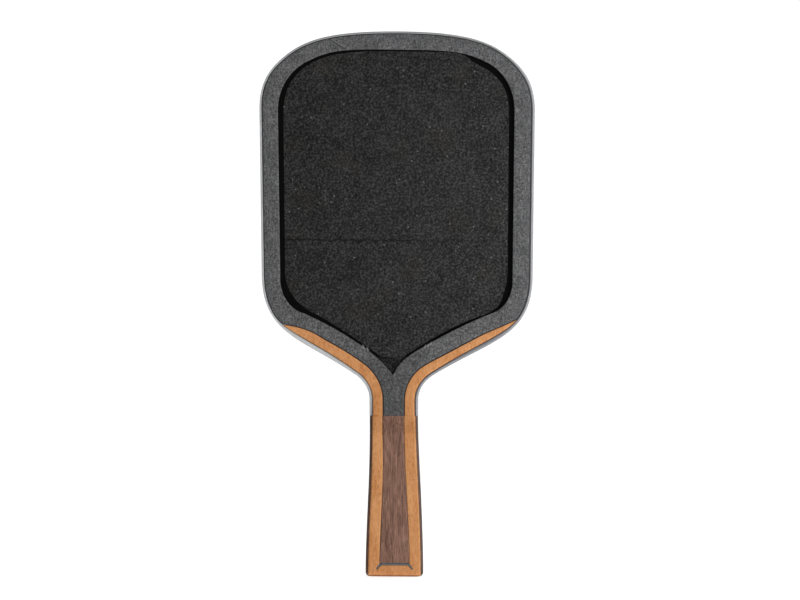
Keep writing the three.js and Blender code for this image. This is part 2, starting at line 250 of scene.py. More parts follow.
grit_edge = joined(
    path(
        (-0.4, 161.9),
        [(2.1, 161.6), (4, 161)],
        [(8.5, 165.4), (19.4, 171.8), (29.3, 177.9)],
        [(37.3, 182.8), (47.3, 187.9), (57.5, 191.8)],
        [(66.2, 194.4), (76.2, 197.6), (78.3, 208.9)],
        [(80.7, 215.3), (81.8, 221), (81.8, 228)],
        [(82.9, 346)],
        [(83, 360.5), (76, 371.5), (62, 378.5)],
        [(50, 384.5), (52, 388.6), (36, 388.8)],
        [(0, 389)],
    ),
    path(
        (0.4, 161.9),
        [(6, 162.6), (11.1, 162.9)],
        [(30.7, 176.5), (46.7, 186.5), (58.7, 193.2)],
        [(73.2, 199.8), (83.8, 210.2), (83.1, 228)],
        [(84.3, 343)],
        [(84.2, 361), (76.9, 371.5), (65.9, 378.6)],
        [(53.9, 386), (41.9, 388), (19.9, 389)],
        [(0, 389)],
    ),
)
plate_edges = {side: inset(outline, lambda z: reveal(z, side)) for side in (1, -1)}


def at_height(half, z):
    i = next(i for i, p in enumerate(half) if p.y > z)
    low, high = half[i - 1], half[i]
    return low.lerp(high, (z - low.y) / (high.y - low.y))


def strip_inner_edge(strip, grow):
    def from_outline(z):
        return strip.neck + (strip.shoulder - strip.neck) * rise(z, *STRIP_SHOULDER) + grow

    edge = [p for p in inset(outline, from_outline) if p.y < strip.turn_z]
    turn = edge.pop()
    tip = at_height(plate_edges[strip.side], strip.tip_z + grow)
    return edge + path(turn, [turn + Vector(strip.leaves), tip - Vector(strip.arrives), tip])


def strip_outline(strip):
    outer = [p for p in plate_edges[strip.side] if p.y < strip.tip_z - POINT_CLEARANCE]
    return outer + strip_inner_edge(strip, 0)[::-1]


def half_plate(strip):
    rim = [p for p in plate_edges[strip.side] if p.y > strip.tip_z + GAP + POINT_CLEARANCE]
    return [Vector((0, HANDLE_LENGTH)), *strip_inner_edge(strip, GAP), *rim]


# ---------------------------------------------------------------- the handle's form


def flare_at(z):
    return ease((HANDLE_LENGTH - z) / HANDLE_LENGTH)


def butt_round(z):
    below = min(max(BUTT_ROUND - z, 0), BUTT_ROUND)
    return BUTT_ROUND - math.sqrt(BUTT_ROUND**2 - below**2)


def width_at(z):
    return HANDLE_HALF_WIDTH_TOP + HANDLE_FLARE * flare_at(z) - butt_round(z)


def full_thickness_at(z):
    drop = (HANDLE_HALF_THICK - HANDLE_HALF_THICK_TOP) * (1 - ease((HANDLE_TOP - z) / RAMP_LENGTH))
    return HANDLE_HALF_THICK + HANDLE_SWELL * flare_at(z) - drop


def thickness_at(z):
    return full_thickness_at(z) - butt_round(z)


def rounded(reach, limit):
    """Drop of a corner of the handle's section at `reach`, where the side is at `limit`."""
    over = min(max(reach - (limit - HANDLE_CORNER), 0), HANDLE_CORNER)
    return HANDLE_CORNER - math.sqrt(HANDLE_CORNER**2 - over**2)


def front_of_handle(x, z):
    return thickness_at(z) - rounded(abs(x), width_at(z))


def side_of_handle(y, z):
    return width_at(z) - rounded(abs(y), thickness_at(z))


def skin_underside(x, z):
    return max(full_thickness_at(z) - SKIN, SHEET_HALF)


def rail_inside(y, z):
    return width_at(max(z, BUTT_ROUND)) - RAIL_WIDTH


def panel_width_at(z):
    return PANEL_HALF_WIDTH + PANEL_FLARE * ease(
        (PANEL_FLARE_TOP - z) / (PANEL_FLARE_TOP - PANEL_FLARE_BOTTOM)
    )


def beside_panel(loop):
    """Moves an outline sideways with the panel."""
    return [Vector((p.x - PANEL_SHIFT * rise(p.y, *PANEL_LEAVES), p.y)) for p in loop]


def lowest(across, top, bottom, least):
    """Height at which a piece of the handle's skin first is `least` thick."""
    low, high = 0.0, BUTT_ROUND + HANDLE_CORNER
    for _ in range(30):
        z = (low + high) / 2
        if top(across, z) - bottom(across, z) < least:
            low = z
        else:
            high = z
    return high


def levels(low, high, step=STEP):
    count = math.ceil((high - low) / step)
    return [low + (high - low) * i / count for i in range(count + 1)]


def accent_curves(grow):
    half_line = panel_width_at(PANEL_BOTTOM) - 0.6
    top = PANEL_BOTTOM - GAP + grow
    bottom = PANEL_BOTTOM - GAP - ACCENT_WIDTH - grow
    end_x, end_z = ACCENT_END
    near = (end_x - 0.6 - grow, end_z - grow)
    far = (end_x + 0.3 + grow, end_z + 0.3 - grow)
    lower = path((half_line - 1.2, bottom), [(half_line + 0.2, bottom), near], step=0.3)
    upper = path(far, [(half_line + 1.3, top - 0.4), (half_line, top)], step=0.3)
    return lower, upper


def accent_outline():
    lower, upper = accent_curves(0)
    half = lower + upper
    line = [Vector((x, upper[-1].y)) for x in levels(-upper[-1].x, upper[-1].x)[::-1]]
    other = [Vector((-p.x, p.y)) for p in reversed(half)]
    foot = [Vector((x, lower[0].y)) for x in levels(-lower[0].x, lower[0].x)]
    return half + line[1:-1] + other + foot[1:-1]


def panel_outline():
    side = [Vector((panel_width_at(z), z)) for z in levels(PANEL_BOTTOM, HANDLE_TOP)]
    foot = [Vector((x, PANEL_BOTTOM)) for x in levels(0, side[0].x)][:-1]
    head = [Vector((x, HANDLE_TOP)) for x in levels(0, side[-1].x)][-2::-1]
    return beside_panel(mirrored(foot + side + head))


def cork_outline():
    def outer(z):
        return width_at(max(z, BUTT_ROUND)) - RAIL_WIDTH + RAIL_OVERLAP

    foot = []
    for x in levels(0, outer(0), FINE_STEP):
        z = lowest(x, front_of_handle, skin_underside, LEAST_SKIN)
        foot.append(Vector((min(x, outer(z)), z)))
    side = [Vector((outer(z), z)) for z in levels(foot[-1].y, HANDLE_TOP)[1:]]
    inner = [Vector((panel_width_at(z) + GAP, z)) for z in levels(PANEL_BOTTOM, HANDLE_TOP)[::-1]]
    lower, upper = accent_curves(GAP)
    notch = [p for p in reversed(upper) if p.x > inner[-1].x]
    bar = [Vector((x, lower[0].y)) for x in levels(0, lower[0].x)][-2::-1]
    right = foot + side + beside_panel(inner) + notch + lower[::-1] + bar
    left = foot + side + [Vector((-p.x, p.y)) for p in beside_panel(flipped(inner))[::-1]]
    left += notch + lower[::-1] + bar
    return right[:-1] + [Vector((-p.x, p.y)) for p in left[:0:-1]]


def rail_outline():
    foot, edge = [], []
    for z in levels(0, HANDLE_TOP, 0.5):
        drop = side_of_handle(0, z) - rail_inside(0, z) - LEAST_RAIL
        if drop > 0:
            reach = math.sqrt(HANDLE_CORNER**2 - (HANDLE_CORNER - drop) ** 2)
            edge.append(Vector((thickness_at(z) - HANDLE_CORNER + reach, z)))
    for y in levels(0, edge[0].x, FINE_STEP)[:-1]:
        foot.append(Vector((y, lowest(y, side_of_handle, rail_inside, LEAST_RAIL))))
    head = [Vector((y, HANDLE_TOP)) for y in levels(0, edge[-1].x)][-2::-1]
    return mirrored(foot + edge + head)


# ---------------------------------------------------------------- solids


def offset(loop, distance):
    """Moves a closed loop towards its left, where the material is, by distance(point)."""
    moved = []
    for i, p in enumerate(loop):
        before = (p - loop[i - 1]).normalized()
        after = (loop[(i + 1) % len(loop)] - p).normalized()
        first = Vector((-before.y, before.x))
        inward = (first + Vector((-after.y, after.x))).normalized()
        moved.append(p + inward * (distance(p) / max(inward.dot(first), 0.5)))
    return moved


def within(points, loops):
    inside = np.zeros(len(points), bool)
    for loop in loops:
        ends = np.array(loop)
        for (ax, az), (bx, bz) in zip(ends, np.roll(ends, -1, axis=0)):
            if az != bz:
                crosses = (az > points[:, 1]) != (bz > points[:, 1])
                inside ^= crosses & (points[:, 0] < ax + (points[:, 1] - az) / (bz - az) * (bx - ax))
    return inside


def cap(loops, first, spread):
    """Triangles over the area inside the loops, whose points are numbered from `first`.

    Returns the triangles and the extra points that they use, numbered on from the loops' points.
    """
    count = sum(len(loop) for loop in loops)
    points = [p for loop in loops for p in loop]
    edges, start = [], 0
    for loop in loops:
        edges += [(start + i, start + (i + 1) % len(loop)) for i in range(len(loop))]
        start += len(loop)
    points += spread
    made, _, faces, sources, _, _ = delaunay_2d_cdt(points, edges, [], 1, 1e-6)
    numbers, extra = [], []
    for p, source in zip(made, sources):
        if source and source[0] < count:
            numbers.append(first[source[0]])
        else:
            numbers.append(-1 - len(extra))
            extra.append(p)
    middles = np.array([sum((made[i] for i in f), Vector((0, 0))) / 3 for f in faces])
    kept = within(middles, loops)
    triangles = []
    for f, keep in zip(faces, kept):
        a, b, c = (made[i] for i in f)
        if keep:
            turned = (b - a).cross(c - a) < 0
            triangles.append([numbers[i] for i in (reversed(f) if turned else f)])
    return triangles, extra


def grid_inside(loops, margin, step, rows=()):
    """Points of an even grid inside the loops, at least `margin` from them."""
    inner = [offset(loop, lambda p: margin) for loop in loops]
    corner = np.array([p for loop in loops for p in loop])
    low, high = corner.min(0), corner.max(0)
    xs = np.arange(low[0] + step / 2, high[0], step)
    zs = np.array([*rows, *np.arange(max([low[1], *rows]) + step, high[1], step)])
    grid = np.array([(x + (i % 2) * step / 2, z) for i, z in enumerate(zs) for x in xs])
    return [Vector(p) for p in grid[within(grid, inner)]]


def piece(name, vertices, faces, flat_from, look, slot, nodes, edge_look=None, edge_faces=0):
    """Makes a visible piece from points in millimetres, which lean sideways with the paddle.

    It rides on the body and stands for its CAD nodes. Faces from `flat_from` on are shaded flat,
    and the first `edge_faces` faces take `edge_look`.
    """
    mesh = bpy.data.meshes.new(name)
    mesh.from_pydata([Vector((x + lean(z), y, z)) * MM for x, y, z in vertices], [], faces)
    mesh.polygons.foreach_set("use_smooth", [i < flat_from for i in range(len(faces))])
    mesh.set_sharp_from_angle(angle=SHARP_ANGLE)
    mesh.materials.append(look)
    if edge_look:
        mesh.materials.append(edge_look)
        mesh.polygons.foreach_set("material_index", [int(i < edge_faces) for i in range(len(faces))])
    made = bpy.data.objects.new(name, mesh)
    bpy.context.scene.collection.objects.link(made)
    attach(made, "root")
    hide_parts(*nodes)
    return made


def shell(loops, top, bottom, bevel, grid=None, rows=()):
    """A closed solid over the area inside the loops, from `bottom` to `top`, with rounded top edges.

    `bevel` gives the rounding at a point, and `grid` the spacing of points inside the top, which
    lets it curve. Returns points as (across, up, out), faces, and the number of the first flat face.
    """
    angles = np.linspace(0, math.pi / 2, BEVEL_STEPS + 1)
    profile = [(1 - math.cos(a), math.sin(a) - 1) for a in angles]
    vertices, faces, lowest_ring, highest_ring, rims = [], [], [], [], []
    for loop in loops:
        count = len(loop)
        rings = [[(p.x, p.y, bottom(p.x, p.y)) for p in loop]]
        for out, down in profile:
            moved = offset(loop, lambda p: bevel(p) * out)
            rings.append([(q.x, q.y, top(q.x, q.y) + bevel(p) * down) for p, q in zip(loop, moved)])
        start = len(vertices)
        for k in range(len(rings) - 1):
            a, b = start + k * count, start + (k + 1) * count
            faces += [(a + i, a + (i + 1) % count, b + (i + 1) % count, b + i) for i in range(count)]
        vertices += [v for ring in rings for v in ring]
        lowest_ring += range(start, start + count)
        highest_ring += range(start + (len(rings) - 1) * count, len(vertices))
        rims.append(moved)
    sides = len(faces)
    spread = grid_inside(rims, grid * GRID_MARGIN, grid, rows) if grid else []
    triangles, extra = cap(rims, highest_ring, spread)
    base = len(vertices)
    vertices += [(p.x, p.y, top(p.x, p.y)) for p in extra]
    faces += [[i if i >= 0 else base - 1 - i for i in t] for t in triangles]
    if grid:
        sides = len(faces)
    triangles, extra = cap(loops, lowest_ring, [])
    base = len(vertices)
    vertices += [(p.x, p.y, bottom(p.x, p.y)) for p in extra]
    faces += [[i if i >= 0 else base - 1 - i for i in reversed(t)] for t in triangles]
    return vertices, faces, sides


def on_front(made):
    vertices, faces, flat_from = made
    return [(x, -out, z) for x, z, out in vertices], faces, flat_from


def turned(made):
    vertices, faces, flat_from = made
    return [(-x, -y, z) for x, y, z in vertices], faces, flat_from


def pair(name, made, look, slot, **edge):
    """The front piece and the back one, which is the same, turned half a turn."""
    piece(f"front_{name}_detail", *on_front(made), look, slot, [f"front_{name}"], **edge)
    piece(f"back_{name}_detail", *turned(on_front(made)), look, slot, [f"back_{name}"], **edge)


def level(height):
    return lambda x, z: height


def even(distance):
    return lambda p: distance


# ---------------------------------------------------------------- looks


def tone(red, green, blue):
    """A colour from its 0 to 255 screen values."""
    shares = [c / 255 for c in (red, green, blue)]
    return (*[s / 12.92 if s <= 0.04045 else ((s + 0.055) / 1.055) ** 2.4 for s in shares], 1)


class Look:
    """A procedural material under construction. Lengths are in millimetres."""

    def __init__(self, name):
        self.material = bpy.data.materials.new(name)
        self.material.use_nodes = True
        self.tree = self.material.node_tree
        self.tree.nodes.clear()
        self.place = self.node("VectorMath", {0: self.node("TexCoord").outputs["Object"], 3: 1000},
                               operation="SCALE").outputs[0]

    def node(self, kind, values=None, **settings):
        made = self.tree.nodes.new("ShaderNode" + kind)
        for key, value in settings.items():
            setattr(made, key, value)
        for key, value in (values or {}).items():
            if isinstance(value, bpy.types.NodeSocket):
                self.tree.links.new(value, made.inputs[key])
            else:
                made.inputs[key].default_value = value
        return made

    def stretched(self, x=1, y=1, z=1, shift=0):
        return self.node("Mapping", {"Vector": self.place, "Location": (shift, shift, shift),
                                     "Scale": (x, y, z)}).outputs[0]

    def noise(self, size, detail=3, roughness=0.5, place=None, distortion=0):
        """Noise whose blotches are about `size` across."""
        return self.node("TexNoise", {
            "Vector": place or self.place, "Scale": 1 / size, "Detail": detail,
            "Roughness": roughness, "Distortion": distortion,
        }).outputs["Fac"]

    def cells(self, size, place=None):
        made = self.node("TexVoronoi", {"Vector": place or self.place, "Scale": 1 / size})
        return made.outputs["Distance"], made.outputs["Color"]

    def math(self, operation, a, b=0.0):
        return self.node("Math", {0: a, 1: b}, operation=operation).outputs[0]

    def sum(self, *parts):
        """Adds up values, each times its share."""
        total, *others = (self.math("MULTIPLY", value, share) for value, share in parts)
        for value in others:
            total = self.math("ADD", total, value)
        return total

    def span(self, value, low, high, to_low=0.0, to_high=1.0, smooth=False):
        kind = "SMOOTHSTEP" if smooth else "LINEAR"
        return self.node("MapRange", {0: value, 1: low, 2: high, 3: to_low, 4: to_high},
                         interpolation_type=kind).outputs[0]

    def ramp(self, value, *stops):
        made = self.node("ValToRGB", {"Fac": value})
        bar = made.color_ramp.elements
        while len(bar) < len(stops):
            bar.new(0.5)
        for element, (position, colour) in zip(bar, stops):
            element.position = position
            element.color = colour
        return made.outputs[0]

    def mix(self, share, a, b):
        return self.node("Mix", {0: share, 6: a, 7: b}, data_type="RGBA").outputs[2]

    def overlaid(self, colour, mask, strength, overlay):
        """The colour with as much as `strength` of the `overlay` colour where the mask is 1: real
        stains and marks, and also painted shade, painted highlights and painted glints.
        """
        return self.mix(self.math("MULTIPLY", mask, strength), colour, overlay)

    def flecks(self, size, channel, chances, reach, place=None):
        """A mask of spots, each in the middle of a cell `size` across.

        A cell has a spot if its random number, one to a channel, is above `chances`, and the spot
        ends between the distances in `reach`, as shares of the cell.
        """
        distance, chance = self.cells(size, place)
        number = self.node("SeparateColor", {0: chance}).outputs[channel]
        return self.math("MULTIPLY", self.span(number, *chances), self.span(distance, *reach))

    def split(self):
        return self.node("SeparateXYZ", {0: self.place}).outputs

    def bump(self, height, depth):
        return self.node("Bump", {"Height": height, "Distance": depth * MM, "Strength": 1}).outputs[0]

    def finish(self, **values):
        shader = self.node("BsdfPrincipled", {key.replace("_", " "): v for key, v in values.items()})
        out = self.node("OutputMaterial")
        self.tree.links.new(shader.outputs[0], out.inputs[0])
        return self.material


def line_mask(look, across, up, start, end, width):
    """1 on a straight line between two places on the face, fading to 0 beside it."""
    (x0, z0), (x1, z1) = start, end
    length = math.hypot(x1 - x0, z1 - z0)
    ux, uz = (x1 - x0) / length, (z1 - z0) / length
    forward = look.math("ADD", look.math("MULTIPLY", across, ux), look.math("MULTIPLY", up, uz))
    aside = look.math("ADD", look.math("MULTIPLY", across, -uz), look.math("MULTIPLY", up, ux))
    s0, t0 = x0 * ux + z0 * uz, -x0 * uz + z0 * ux
    off = look.math("ABSOLUTE", look.math("SUBTRACT", aside, t0))
    on = look.span(off, width, width * 0.3)
    begins = look.span(forward, s0, s0 + 1)
    ends = look.span(forward, s0 + length, s0 + length - 1)
    return look.math("MULTIPLY", on, look.math("MULTIPLY", begins, ends))


CREASE_HEIGHT = 249
CREASE_WAVE = 7


def crease_mask(look, across, up):
    """A fine wavy line across the face, fainter on the right."""
    ripple = look.noise(9, 3, 0.6, look.stretched(1, 0, 0))
    wave = look.math("MULTIPLY", look.math("SUBTRACT", ripple, 0.5), CREASE_WAVE)
    above = look.math("SUBTRACT", look.math("SUBTRACT", up, CREASE_HEIGHT), wave)
    line = look.span(look.math("ABSOLUTE", above), 0.9, 0.2)
    return look.math("MULTIPLY", line, look.span(across, 10, 40, 1, 0.3))


def grit_look():
    look = Look("grit")
    across, _, up = look.split()
    fine = look.noise(1.5, 3, 0.6)
    broad = look.noise(14, 3, 0.55)
    value = look.sum((fine, 0.85), (broad, 0.15))
    colour = look.ramp(value, (0.36, tone(18, 18, 18)), (0.5, tone(42, 42, 42)),
                       (0.64, tone(68, 68, 68)))
    tint = look.span(look.noise(26, 2), 0.58, 0.7)
    colour = look.overlaid(colour, tint, 0.2, tone(52, 48, 38))
    # Bright specks: raised grains in the bump, whose lighter colour is a painted glint.
    glint_speck = look.flecks(2.2, 0, (0.955, 0.985), (0.34, 0.18))
    colour = look.mix(glint_speck, colour, tone(112, 112, 112))
    crease = crease_mask(look, across, up)
    # Painted shade darkens the crease; the relief below also dents it.
    colour = look.overlaid(colour, crease, 0.8, tone(18, 18, 18))
    relief = look.math("SUBTRACT", look.math("ADD", fine, look.math("MULTIPLY", glint_speck, 0.6)),
                       look.math("MULTIPLY", crease, 0.5))
    normal = look.bump(relief, 0.45)
    rough = look.span(fine, 0.3, 0.7, 0.95, 0.75)
    return look.finish(Base_Color=colour, Roughness=rough, Normal=normal, Specular_IOR_Level=0.1)


# Bright ticks beside the opening, painted glints: from and to.
GLINT_TICKS = (
    ((21.3, 168.9), (22.8, 172.4)), ((23.6, 169.6), (24.9, 173)), ((25.7, 171), (26.7, 174.4)),
    ((-19.9, 166.6), (-21.5, 169.8)), ((-23, 168.4), (-24.6, 171.6)),
)


def with_painted_glints(look, across, up, colour):
    for start, end in GLINT_TICKS:
        glint = line_mask(look, across, up, start, end, 0.85)
        # Painted glints: light grey ticks.
        colour = look.overlaid(colour, glint, 0.6, tone(165, 165, 164))
    return colour


def laminate_look():
    look = Look("laminate")
    across, _, up = look.split()
    dust = look.noise(0.7, 3, 0.6)
    foot = look.span(up, 164, 159)
    colour = look.ramp(dust, (0.4, tone(6, 6, 6)), (0.7, tone(15, 15, 15)))
    weave = look.ramp(look.noise(1.3, 3, 0.6), (0.4, tone(14, 14, 14)), (0.6, tone(56, 56, 56)))
    colour = look.overlaid(colour, foot, 0.9, weave)
    colour = with_painted_glints(look, across, up, colour)
    rough = look.span(dust, 0.3, 0.7, 0.38, 0.55)
    return look.finish(Base_Color=colour, Roughness=rough, Normal=look.bump(dust, 0.02),
                       Specular_IOR_Level=0.03)


def composite_look():
    look = Look("composite")
    across, _, up = look.split()
    fine = look.noise(1.2, 3, 0.65)
    broad = look.noise(11, 3, 0.5)
    upright = look.noise(0.9, 2, 0.5, look.stretched(1, 1, 0.3))
    level_marks = look.noise(0.9, 2, 0.5, look.stretched(0.35, 1, 1, 30))
    value = look.sum((fine, 0.45), (broad, 0.1), (upright, 0.25), (level_marks, 0.2))
    colour = look.ramp(value, (0.38, tone(52, 52, 53)), (0.5, tone(88, 88, 89)),
                       (0.62, tone(124, 124, 125)))
    # Painted shade: the frame is darker towards the neck.
    neck = look.span(up, 178, 140, 0, 0.25, smooth=True)
    colour = look.mix(neck, colour, tone(40, 40, 41))
    fleck = look.flecks(3.2, 1, (0.86, 0.92), (0.3, 0.1))
    colour = look.overlaid(colour, fleck, 0.6, tone(45, 45, 46))
    colour = with_painted_glints(look, across, up, colour)
    seam = line_mask(look, across, up, (-52, 398.6), (-38.8, 390.3), 0.9)
    # A painted highlight: a lighter line along the seam.
    painted_highlight = line_mask(look, across, up, (-51.6, 399.4), (-38.4, 391.1), 0.8)
    scratch = line_mask(look, across, up, (44, 187), (54.5, 181), 0.6)
    dark = look.math("MAXIMUM", seam, look.math("MULTIPLY", scratch, 0.8))
    colour = look.overlaid(colour, painted_highlight, 0.4, tone(130, 130, 131))
    colour = look.overlaid(colour, dark, 0.6, tone(45, 45, 46))
    normal = look.bump(look.math("SUBTRACT", value, look.math("MULTIPLY", dark, 0.3)), 0.2)
    rough = look.span(fine, 0.3, 0.7, 0.8, 0.65)
    return look.finish(Base_Color=colour, Roughness=rough, Normal=normal, Specular_IOR_Level=0.12)


def band_look():
    look = Look("band")
    across, _, up = look.split()
    fine = look.noise(0.8, 3, 0.6)
    broad = look.noise(22, 3, 0.5)
    value = look.sum((fine, 0.4), (broad, 0.6))
    colour = look.ramp(value, (0.35, tone(178, 179, 181)), (0.65, tone(203, 204, 206)))
    scuff = look.noise(1.6, 2, 0.5, look.stretched(1, 1, 0.1, 40))
    colour = look.mix(look.span(scuff, 0.68, 0.8, 0, 0.35), colour, tone(140, 140, 142))
    # Painted shade: the band is darker on its right side and over the crown.
    right = look.span(across, -10, 12, smooth=True)
    right = look.math("MULTIPLY", right, look.span(up, 350, 390, 1, 0.5))
    painted_band_shade = look.math("MAXIMUM", right, look.span(up, 380, 400, 0, 0.5))
    colour = look.overlaid(colour, painted_band_shade, 0.85, tone(104, 105, 108))
    rough = look.span(fine, 0.3, 0.7, 0.42, 0.58)
    return look.finish(Base_Color=colour, Roughness=rough, Normal=look.bump(fine, 0.04))


def cork_look():
    look = Look("cork")
    _, _, up = look.split()
    grain = look.noise(1.1, 4, 0.6, look.stretched(1, 1, 0.3))
    fine = look.noise(0.7, 3, 0.6)
    broad = look.noise(7, 2, 0.5, look.stretched(1, 1, 0.25))
    value = look.sum((grain, 0.45), (broad, 0.3), (fine, 0.25))
    colour = look.ramp(value, (0.34, tone(168, 104, 55)), (0.46, tone(195, 133, 81)),
                       (0.56, tone(208, 148, 97)), (0.68, tone(222, 164, 114)))
    fleck = look.flecks(1.6, 2, (0.85, 0.9), (0.42, 0.2), look.stretched(1, 1, 0.6))
    colour = look.overlaid(colour, fleck, 0.55, tone(150, 88, 44))
    # Painted shade: darker over the lowest 1.7 mm, where the butt rounds under.
    butt_edge_shade = look.span(up, 1.7, 0.5, 0, 0.8)
    colour = look.mix(butt_edge_shade, colour, tone(86, 56, 40))
    relief = look.math("SUBTRACT", value, look.math("MULTIPLY", fleck, 0.35))
    rough = look.span(grain, 0.3, 0.7, 0.82, 0.66)
    return look.finish(Base_Color=colour, Roughness=rough, Normal=look.bump(relief, 0.1),
                       Specular_IOR_Level=0.25)


# Dark streaks in the panel's figure: from, to, and how dark.
WALNUT_STREAKS = (
    ((4.4, 108), (2.4, 88), 0.6), ((-0.6, 61), (-1.8, 40), 0.3), ((-3, 33), (-2.4, 23), 0.5),
)


def walnut_look(name, overlay):
    """Walnut, darkened by `overlay` from 0 to 1, which is painted shade where it is above 0."""
    look = Look(name)
    across, _, up = look.split()
    waves = look.noise(5, 2, 0.5, look.stretched(1, 1, 0.1))
    grain = look.noise(0.8, 3, 0.6, look.stretched(1, 1, 0.08), 0.15)
    pores = look.noise(0.75, 2, 0.55, look.stretched(1, 1, 0.25, 20))
    value = look.sum((grain, 0.83), (waves, 0.17))
    colour = look.ramp(value, (0.36, tone(98, 69, 56)), (0.46, tone(122, 91, 76)),
                       (0.55, tone(137, 103, 87)), (0.66, tone(158, 121, 103)))
    dark = look.span(pores, 0.59, 0.67, 0, 0.6)
    for start, end, depth in WALNUT_STREAKS:
        streak = line_mask(look, across, up, start, end, 1)
        dark = look.math("MAXIMUM", dark, look.math("MULTIPLY", streak, depth))
    colour = look.mix(dark, colour, tone(62, 44, 38))
    # Painted shade: darkens the whole colour by the share `overlay`.
    colour = look.mix(overlay, colour, tone(30, 26, 24))
    relief = look.math("SUBTRACT", value, dark)
    rough = look.span(grain, 0.3, 0.7, 0.66, 0.5)
    return look.finish(Base_Color=colour, Roughness=rough, Normal=look.bump(relief, 0.1),
                       Specular_IOR_Level=0.2)


def accent_look():
    look = Look("accent")
    fine = look.noise(0.8, 3, 0.6)
    colour = look.ramp(fine, (0.35, tone(78, 84, 90)), (0.65, tone(106, 112, 118)))
    rough = look.span(fine, 0.3, 0.7, 0.4, 0.55)
    return look.finish(Base_Color=colour, Roughness=rough, Normal=look.bump(fine, 0.03))


def plain_look(name, dark, light, size, rough):
    """A mottled, matte material, for the pieces inside and for the dark outer edges of the frame and
    shoulder strips, whose dark tone there is painted shade.
    """
    look = Look(name)
    mottle = look.noise(size, 4, 0.6)
    colour = look.ramp(mottle, (0.35, dark), (0.65, light))
    spread = look.span(mottle, 0.3, 0.7, rough - 0.08, rough + 0.05)
    return look.finish(Base_Color=colour, Roughness=spread, Normal=look.bump(mottle, 0.05))


grit = grit_look()
laminate = laminate_look()
composite = composite_look()
band = band_look()
cork = cork_look()
walnut = walnut_look("walnut", 0)
# Darker copies of the walnut for the side rails: painted shade, more on the right rail than on the
# left.
right_rail_painted_shade_walnut = walnut_look("right_rail_painted_shade_walnut", 0.72)
left_rail_painted_shade_walnut = walnut_look("left_rail_painted_shade_walnut", 0.48)
accent = accent_look()
# Painted shade: dark looks for the sides and rounded outer edges of the frame and shoulder strips.
painted_shade_edge = plain_look("painted_shade_edge", tone(30, 30, 31), tone(52, 52, 54), 0.8, 0.7)
painted_shade_cork_edge = plain_look("painted_shade_cork_edge", tone(72, 46, 30), tone(98, 64, 42), 0.8, 0.8)
honeycomb = plain_look("honeycomb", tone(205, 202, 190), tone(226, 223, 212), 3, 0.6)
foam = plain_look("foam", tone(214, 208, 192), tone(236, 231, 218), 1.2, 0.9)
spine = plain_look("spine", tone(182, 152, 108), tone(214, 188, 148), 4, 0.7)

# The CAD's own nodes that show or lie inside, with their looks.
kept_nodes = {
    "honeycomb_core": honeycomb,
    "perimeter_foam": foam,
    "handle_spine": spine,
    "front_handle_core": foam,
    "back_handle_core": foam,
    "front_face_sheet": laminate,
    "back_face_sheet": laminate,
    "butt_plug": walnut,
}
for node, look in kept_nodes.items():
    frame["nodes"][node].data.materials.clear()
    frame["nodes"][node].data.materials.append(look)

# ---------------------------------------------------------------- the head


def band_profile(z, side):
    """Half of the band's section from its outer middle round to the inside, as (inwards, out)."""
    lip = reveal(z, side) - GROOVE
    soft = BAND_LIP_ROUND
    reach = min(BAND_ROUND, lip - soft)
    turn = math.acos(1 - reach / BAND_ROUND)
    shoulder = BAND_HALF - BAND_ROUND_DEPTH
    points = [(0, 0), (0, shoulder / 2), (0, shoulder)]
    for k in range(1, BAND_STEPS + 1):
        a = turn * k / BAND_STEPS
        points.append((BAND_ROUND * (1 - math.cos(a)), shoulder + BAND_ROUND_DEPTH * math.sin(a)))
    height = points[-1][1]
    for k in (0.5, 1):
        a = k * math.pi / 2
        points.append((lip - soft + soft * math.sin(a), height - soft + soft * math.cos(a)))
    return points + [(lip, SHEET_HALF), (BAND_INNER_INSET, SHEET_HALF)]


def edge_band():
    """The band's section swept round the head, closed at both ends of the neck."""
    whole = outline + [Vector((-p.x, p.y)) for p in reversed(outline[:-1])]
    vertices, rings = [], []
    for i, p in enumerate(whole):
        before, after = whole[max(i - 1, 0)], whole[min(i + 1, len(whole) - 1)]
        inward = Vector((before.y - after.y, after.x - before.x)).normalized()
        half = band_profile(p.y, 1 if p.x > 0 else -1)
        section = half + [(d, -y) for d, y in reversed(half[1:])]
        rings.append(range(len(vertices), len(vertices) + len(section)))
        vertices += [(p.x + inward.x * d, -y, p.y + inward.y * d) for d, y in section]
    size = len(rings[0])
    faces = [
        (a[j], b[j], b[(j + 1) % size], a[(j + 1) % size])
        for a, b in zip(rings, rings[1:])
        for j in range(size)
    ]
    return vertices, faces + [list(rings[0]), list(rings[-1])[::-1]], len(faces)


rim = KDTree(len(outline))
for i, p in enumerate(outline):
    rim.insert((p.x, p.y, 0), i)
rim.balance()


def from_rim(x, z):
    return rim.find((abs(x), z, 0))[2]


def sloped(x, z):
    """Height of the frame's front, which slopes down towards the outline above the neck."""
    fall = FALL * rise(z, *FALL_BEGINS)
    return PLATE_HALF - fall * max(1 - from_rim(x, z) / FALL_WIDTH, 0)


def near_joint(z):
    """1 at the joint between the head and the handle, falling to 0 over the next millimetre."""
    return 1 - ease(abs(z - HANDLE_LENGTH) - JOINT_REACH)


def eased_at_joint(wide, z):
    return wide - (wide - JOINT_EDGE) * near_joint(z)


def plate_bevel(p):
    outer = from_rim(p.x, p.y) < REVEAL_SHOULDER + 0.5
    return eased_at_joint(PLATE_EDGE if outer else FINE_EDGE, p.y)


def strip_bevel(strip):
    tip = at_height(plate_edges[strip.side], strip.tip_z)

    def bevel(p):
        from_tip = (Vector((abs(p.x), p.y)) - tip).length
        return eased_at_joint(FINE_EDGE * min(from_tip / STRIP_TIP_LENGTH + 0.05, 1), p.y)

    return bevel


def skin_bevel(wide):
    return lambda p: eased_at_joint(wide, p.y)


